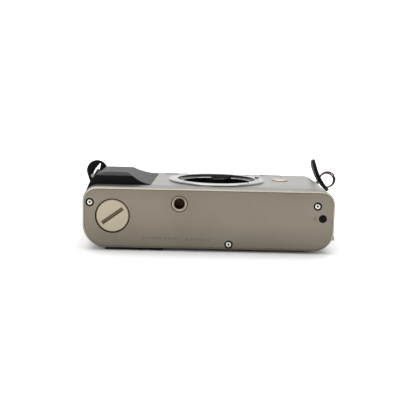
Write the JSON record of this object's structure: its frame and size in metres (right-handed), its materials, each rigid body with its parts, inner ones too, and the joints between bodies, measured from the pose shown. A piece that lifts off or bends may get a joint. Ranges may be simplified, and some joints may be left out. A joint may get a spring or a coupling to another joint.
{
  "type": "film camera body",
  "caption": "Autofocus film camera body lying on its back: open lens throat, moulded grip, dials, hinged back door and leather-guarded strap rings.",
  "frame": {"origin": "on the surface that the back lies on, at the shell's mid width and mid height", "axes": "+Z along the lens axis out of the mount, +X towards the rewind end, +Y towards the top plate"},
  "size_m": [0.1516, 0.0771, 0.0451],
  "materials": {
    "titanium_shell": "satin champagne titanium finish",
    "champagne_fitting": "satin",
    "moulded_rubber": "matt",
    "black_plastic": "satin",
    "polished_steel": "polished",
    "steel_fastener": "satin",
    "black_alloy": "matt black",
    "shutter_metal": "satin",
    "window_glass": "clear",
    "black_leather": "smooth",
    "foam": "open-cell foam",
    "motor_can": "satin",
    "cell_sleeve": "printed sleeve, plain",
    "gold_contact": "plated",
    "circuit_laminate": "green laminate"
  },
  "bodies": {
    "body": {"af_motor": "motor_can", "af_windows": "window_glass", "battery_cells": "cell_sleeve", "battery_contact": "steel_fastener", "battery_tube": "black_plastic", "bayonet_springs": "steel_fastener", "bottom_cover": "titanium_shell", "chassis": "black_alloy", "circuit_board": "circuit_laminate", "contact_block": "black_plastic", "cover_screws": "steel_fastener", "door_hinge_pin": "steel_fastener", "eyepiece": "black_plastic", "film_motor": "motor_can", "frame_counter": "window_glass", "front_cover": "titanium_shell", "grip": "moulded_rubber", "hot_shoe": "polished_steel", "light_baffle": "black_alloy", "light_seals": "foam", "mount_ring": "polished_steel", "mount_screws": "steel_fastener", "shoe_contact": "gold_contact", "shutter_frame": "black_alloy", "strap_lugs": "polished_steel", "top_cover": "titanium_shell", "tripod_bush": "steel_fastener", "viewfinder_block": "window_glass", "viewfinder_window": "window_glass"},
    "door": {"back_door": "titanium_shell", "thumb_rest": "moulded_rubber", "door_leatherette": "moulded_rubber", "film_window": "window_glass", "pressure_plate_springs": "steel_fastener"},
    "pressure_plate": {"pressure_plate": "black_alloy"},
    "door_latch": {"door_latch": "black_plastic"},
    "battery_cap": {"battery_cap": "champagne_fitting"},
    "rewind_button": {"rewind_button": "black_plastic"},
    "shutter_button": {"shutter_button": "champagne_fitting"},
    "main_switch": {"main_switch": "titanium_shell"},
    "speed_dial": {"shutter_speed_dial": "titanium_shell"},
    "compensation_ring": {"compensation_ring": "champagne_fitting"},
    "focus_dial": {"focus_dial": "titanium_shell"},
    "lens_release": {"lens_release_button": "champagne_fitting"},
    "lock_pin": {"lock_pin": "polished_steel"},
    "af_coupler": {"af_drive_coupler": "polished_steel"},
    "takeup_spool": {"takeup_spool": "black_plastic"},
    "rewind_fork": {"rewind_fork": "black_plastic"},
    "first_blade_lead": {"first_blade_1": "shutter_metal"},
    "first_blade_follower": {"first_blade_2": "shutter_metal"},
    "second_blade_lead": {"second_blade_1": "shutter_metal"},
    "second_blade_follower": {"second_blade_2": "shutter_metal"},
    "mode_button_front": {"mode_button_1": "black_plastic"},
    "mode_button_rear": {"mode_button_2": "black_plastic"},
    "diopter": {"diopter_dial": "black_plastic"},
    "strap_right": {"split_ring_right": "polished_steel", "strap_tab_right": "black_leather"},
    "strap_left": {"split_ring_left": "polished_steel", "strap_tab_left": "black_leather"}
  },
  "joints": [
    {"name": "door_hinge", "type": "hinge", "parent": "body", "child": "door", "pos_m": [-0.0612, -0.008, 0.004], "axis": [0, 1, 0], "range_deg": [0, 100]},
    {"name": "pressure_plate_give", "type": "slide", "parent": "door", "child": "pressure_plate", "axis": [0, 0, -1], "range_m": [0, 0.0008], "stiffness_N_per_m": 300, "springref_m": -0.002, "deforming": ["pressure_plate_springs"]},
    {"name": "latch_slide", "type": "slide", "parent": "door", "child": "door_latch", "axis": [0, 1, 0], "range_m": [0, 0.0025]},
    {"name": "battery_cap_turn", "type": "hinge", "parent": "body", "child": "battery_cap", "pos_m": [-0.0507, -0.0385, 0.0185], "axis": [0, 1, 0], "range_deg": [0, 60]},
    {"name": "rewind_press", "type": "slide", "parent": "body", "child": "rewind_button", "axis": [0, 1, 0], "range_m": [0, 0.0009], "stiffness_N_per_m": 400, "springref_m": -0.0015},
    {"name": "shutter_press", "type": "slide", "parent": "body", "child": "shutter_button", "axis": [0, -1, 0], "range_m": [0, 0.001], "stiffness_N_per_m": 400, "springref_m": -0.0015},
    {"name": "main_switch_turn", "type": "hinge", "parent": "body", "child": "main_switch", "pos_m": [-0.046, 0.0335, 0.0205], "axis": [0, 1, 0], "range_deg": [-25, 25]},
    {"name": "speed_dial_turn", "type": "hinge", "parent": "body", "child": "speed_dial", "pos_m": [-0.0215, 0.0335, 0.019], "axis": [0, 1, 0], "range_deg": [-150, 150]},
    {"name": "compensation_turn", "type": "hinge", "parent": "body", "child": "compensation_ring", "pos_m": [-0.0215, 0.0335, 0.019], "axis": [0, 1, 0], "range_deg": [-40, 40]},
    {"name": "focus_dial_turn", "type": "hinge", "parent": "body", "child": "focus_dial", "pos_m": [0.053, 0.0335, 0.0205], "axis": [0, 1, 0], "continuous": true},
    {"name": "lens_release_press", "type": "slide", "parent": "body", "child": "lens_release", "axis": [0, 0, -1], "range_m": [0, 0.0012], "stiffness_N_per_m": 400, "springref_m": -0.0015},
    {"name": "lock_pin_retract", "type": "slide", "parent": "body", "child": "lock_pin", "axis": [0, 0, -1], "range_m": [0, 0.0012]},
    {"name": "af_coupler_turn", "type": "hinge", "parent": "body", "child": "af_coupler", "pos_m": [0.02138, -0.01959, 0.03], "axis": [0, 0, 1], "continuous": true},
    {"name": "takeup_turn", "type": "hinge", "parent": "body", "child": "takeup_spool", "pos_m": [-0.031, 0, 0.0168], "axis": [0, 1, 0], "continuous": true},
    {"name": "rewind_fork_turn", "type": "hinge", "parent": "body", "child": "rewind_fork", "pos_m": [0.051, -0.028, 0.0168], "axis": [0, 1, 0], "continuous": true},
    {"name": "first_curtain_run", "type": "slide", "parent": "body", "child": "first_blade_lead", "axis": [0, -1, 0], "range_m": [0, 0.0243]},
    {"name": "first_curtain_follow", "type": "slide", "parent": "body", "child": "first_blade_follower", "axis": [0, -1, 0], "range_m": [0, 0.01262]},
    {"name": "second_curtain_run", "type": "slide", "parent": "body", "child": "second_blade_lead", "axis": [0, -1, 0], "range_m": [0, 0.0243]},
    {"name": "second_curtain_follow", "type": "slide", "parent": "body", "child": "second_blade_follower", "axis": [0, -1, 0], "range_m": [0, 0.01262]},
    {"name": "mode_front_press", "type": "slide", "parent": "body", "child": "mode_button_front", "axis": [0, -1, 0], "range_m": [0, 0.0005], "stiffness_N_per_m": 400, "springref_m": -0.0015},
    {"name": "mode_rear_press", "type": "slide", "parent": "body", "child": "mode_button_rear", "axis": [0, -1, 0], "range_m": [0, 0.0005], "stiffness_N_per_m": 400, "springref_m": -0.0015},
    {"name": "diopter_turn", "type": "hinge", "parent": "body", "child": "diopter", "pos_m": [0.051, 0.0264, 0.0014], "axis": [0, 0, 1], "range_deg": [-90, 90]},
    {"name": "strap_right_swing", "type": "hinge", "parent": "body", "child": "strap_right", "pos_m": [0.06809, 0.0265, 0.03109], "axis": [-0.4695, 0, 0.8829], "range_deg": [-12, 12]},
    {"name": "strap_left_swing", "type": "hinge", "parent": "body", "child": "strap_left", "pos_m": [-0.06809, 0.0265, 0.03109], "axis": [0.4695, 0, 0.8829], "range_deg": [0, 40]}
  ],
  "couplings": [
    {"joint": "lock_pin_retract", "follows": "lens_release_press", "ratio": 1},
    {"joint": "first_curtain_follow", "follows": "first_curtain_run", "ratio": 0.5185},
    {"joint": "second_curtain_follow", "follows": "second_curtain_run", "ratio": 0.5185}
  ]
}
